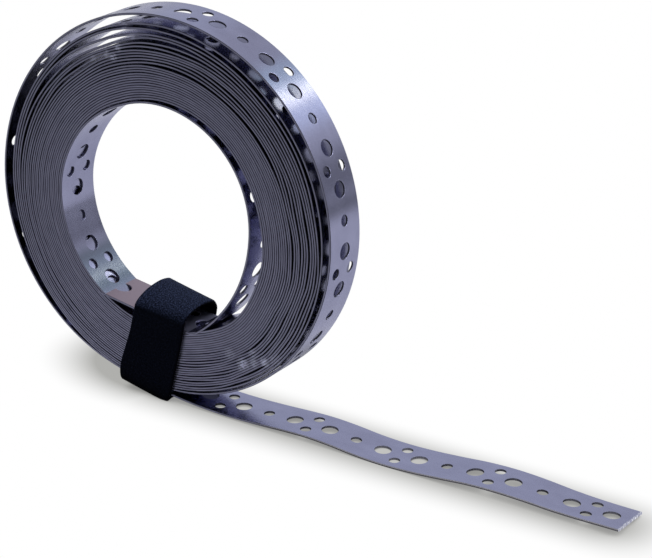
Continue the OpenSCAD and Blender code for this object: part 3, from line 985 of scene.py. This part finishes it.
# ---------- floor, light and camera
def floor_paper():
    """White paper. Camera rays see it with a painted soft shade, other rays see it with painted shade in
    places.
    """
    made, nodes, shader, output = new_material("floor_paper")
    position = nodes.add("NewGeometry").outputs["Position"]
    world_x, y, _ = nodes.split(position)
    x0 = SHIFT_X * MM  # the coil's axis
    # painted shade for the other rays, which the metal reflects: darker far off behind the right, to the
    # left, close by and in front
    right = nodes.falloff(nodes.distance(position, (0.46, 0.6, 0.0)), 0.2, 0.42, 0.25, 0.88)
    left = nodes.falloff(nodes.distance(position, (x0 - 0.188, 0.155, 0.0)), 0.035, 0.06, 0.02, 0.88)
    close = nodes.falloff(nodes.distance(position, (x0 + 0.029, 0.034, 0.0)), 0.007, 0.024, 0.45, 0.88)
    front = nodes.falloff(y, -0.1, -0.008, 0.42, 1.0)
    plain = nodes.maths("MULTIPLY", nodes.maths("MINIMUM", right, left, close), front)
    nodes.fill(shader, {"Base Color": plain, "Roughness": 0.9, "Specular IOR Level": 0.0})
    # painted shade: a soft shadow close round the foot and the tail
    x = nodes.maths("SUBTRACT", world_x, x0)
    across = nodes.maths("ADD", nodes.falloff(y, -0.0255, 0.0085),
                         nodes.falloff(y, -0.0085, 0.0225, 1.0, 0.0), -1.0)
    end = nodes.falloff(x, 0.157, 0.186, 1.0, 0.0)
    start = nodes.falloff(x, -0.03, 0.0)
    tail_shade = nodes.maths("MINIMUM", nodes.maths("MULTIPLY", across, end, start), 0.46)
    foot_x = nodes.maths("ADD", x, 0.012)
    foot_x = nodes.maths("MAXIMUM", nodes.maths("DIVIDE", foot_x, -1.29), nodes.maths("DIVIDE", foot_x, 0.8))
    foot_y = nodes.maths("ADD", y, -0.0145)
    squares = [nodes.maths("MULTIPLY", side, side) for side in (foot_x, foot_y)]
    away = nodes.single("SQRT", nodes.maths("ADD", *squares))
    foot_shade = nodes.falloff(away, 0.0075, 0.0395, 1.0, 0.0)
    darkest = 0.57
    shade = nodes.maths("MINIMUM", nodes.maths("MAXIMUM", tail_shade, foot_shade), darkest)
    colour = nodes.mix(nodes.maths("DIVIDE", shade, darkest), (1.0, 1.0, 1.0), (0.43, 0.43, 0.415))
    # the object's own contact shadow on top of it
    contact = nodes.add("AmbientOcclusion", {"Distance": 0.006}, samples=16).outputs["AO"]
    colour = nodes.mix(nodes.falloff(contact, 0.0, 0.75, 1.0, 0.0), colour, (0.52, 0.52, 0.52),
                       blend_type="MULTIPLY")
    # painted shade: the narrow wedge between the coil and the tail, where no light reaches, is dark
    wedge_shade = nodes.maths("MULTIPLY", nodes.between(x, -0.012, -0.006, 0.0165, 0.0195),
                        nodes.between(y, -0.003, -0.0015, 0.0078, 0.0086))
    colour = nodes.mix(wedge_shade, colour, (0.022, 0.023, 0.04))
    seen = nodes.add("Emission", {"Color": colour}).outputs[0]
    nodes.fill(output, {0: nodes.seen_as(seen, shader.outputs[0])})
    return made


def build_floor():
    reach = 4.0
    mesh = bpy.data.meshes.new("floor")
    corners = [(-reach, -reach, 0), (reach, -reach, 0), (reach, reach, 0), (-reach, reach, 0)]
    mesh.from_pydata(corners, [], [(0, 1, 2, 3)])
    mesh.materials.append(floor_paper())
    new_object("floor", mesh)


def build_world():
    """A pale graded studio, brighter above and behind. The camera itself sees plain white."""
    world = bpy.data.worlds.new("studio")
    bpy.context.scene.world = world
    world.use_nodes = True
    nodes = Nodes(world.node_tree)
    direction = nodes.add("TexCoord").outputs["Generated"]
    _, y, z = nodes.split(direction)

    def lobe(towards, inner_angle, outer_angle, strength):
        """A round patch of the studio, of a strength inside one half angle and 0 outside another."""
        inputs = {0: direction, 1: Vector(towards).normalized()}
        dot = nodes.add("VectorMath", inputs, operation="DOT_PRODUCT").outputs["Value"]
        return nodes.falloff(dot, math.cos(math.radians(outer_angle)), math.cos(math.radians(inner_angle)),
                             0.0, strength)

    def light(colour, *strengths):
        return nodes.add("Background", {0: colour, 1: nodes.maths("ADD", *strengths)}).outputs[0]

    base = nodes.maths("MULTIPLY", nodes.falloff(z, 0.0, 0.6, 0.76, 0.8),
                       nodes.falloff(y, -0.6, 0.15, 0.4, 1.0))
    grey = light((0.97, 0.98, 1.0), base, lobe((0.6, 0.8, -0.02), 1, 16, -0.42),
                 lobe((0.638, 0.734, 0.234), 2, 8, -0.5), lobe((0.51, 0.817, 0.26), 2, 11, 0.22),
                 lobe((-0.62, 0.78, -0.06), 5, 14, 0.2), lobe((-0.57, 0.79, 0.22), 8, 22, -0.08))
    box = light((0.76, 0.9, 1.0), lobe((0.35, 0.8, 0.475), 2, 12, 1.15),
                lobe((-0.49, 0.79, 0.38), 6, 18, 0.2))
    glare = light((1.0, 0.95, 0.6), lobe((0.295, 0.805, 0.515), 0.5, 5, 4.4))
    sky = light((0.4, 1.0, 0.95), lobe((0.19, 0.79, 0.585), 3, 9, 0.4))
    studio = grey
    for part in (box, glare, sky):
        studio = nodes.add("AddShader", {0: studio, 1: part}).outputs[0]
    nodes.add("OutputWorld", {0: nodes.seen_as(light((1, 1, 1), 1.0), studio)})


def area(name, position, target, size, power):
    """A rectangular lamp that faces a target."""
    lamp = bpy.data.lights.new(name, "AREA")
    lamp.shape = "RECTANGLE"
    lamp.size, lamp.size_y = size
    lamp.energy = power
    made = new_object(name, lamp)
    made.location = position
    made.rotation_euler = (Vector(target) - Vector(position)).to_track_quat("-Z", "Y").to_euler()


def build_camera():
    azimuth = math.radians(31.615)
    elevation = math.radians(22.167)
    roll = math.radians(1.653)
    away = 0.69082  # from the point that it looks at
    focal = 3.3826688  # as a multiple of the sensor's width
    target = Vector(((57.35 + SHIFT_X) * MM, 0, 53.68 * MM))
    back = Vector((math.sin(azimuth) * math.cos(elevation), -math.cos(azimuth) * math.cos(elevation),
                   math.sin(elevation)))
    level = Vector((math.cos(azimuth), math.sin(azimuth), 0))
    upright = back.cross(level)
    right = math.cos(roll) * level + math.sin(roll) * upright
    up = -math.sin(roll) * level + math.cos(roll) * upright
    lens = bpy.data.cameras.new("camera")
    camera = new_object("camera", lens)
    columns = [(*right, 0), (*up, 0), (*back, 0), (*(target + back * away), 1)]
    camera.matrix_world = Matrix(columns).transposed()
    lens.sensor_width = 36.0
    lens.lens = focal * lens.sensor_width
    lens.shift_x = 0.0019
    lens.clip_start = 0.01
    lens.clip_end = 20
    bpy.context.scene.camera = camera


build_floor()
build_world()
area("key", (0.5, 0.5, 1.1), (0, 0, 0.05), (0.6, 0.6), 6.0)
area("side", (1.1, -0.2, 0.5), (0, 0, 0.06), (0.25, 0.6), 3.0)
build_camera()
bpy.context.scene.view_settings.view_transform = "Standard"
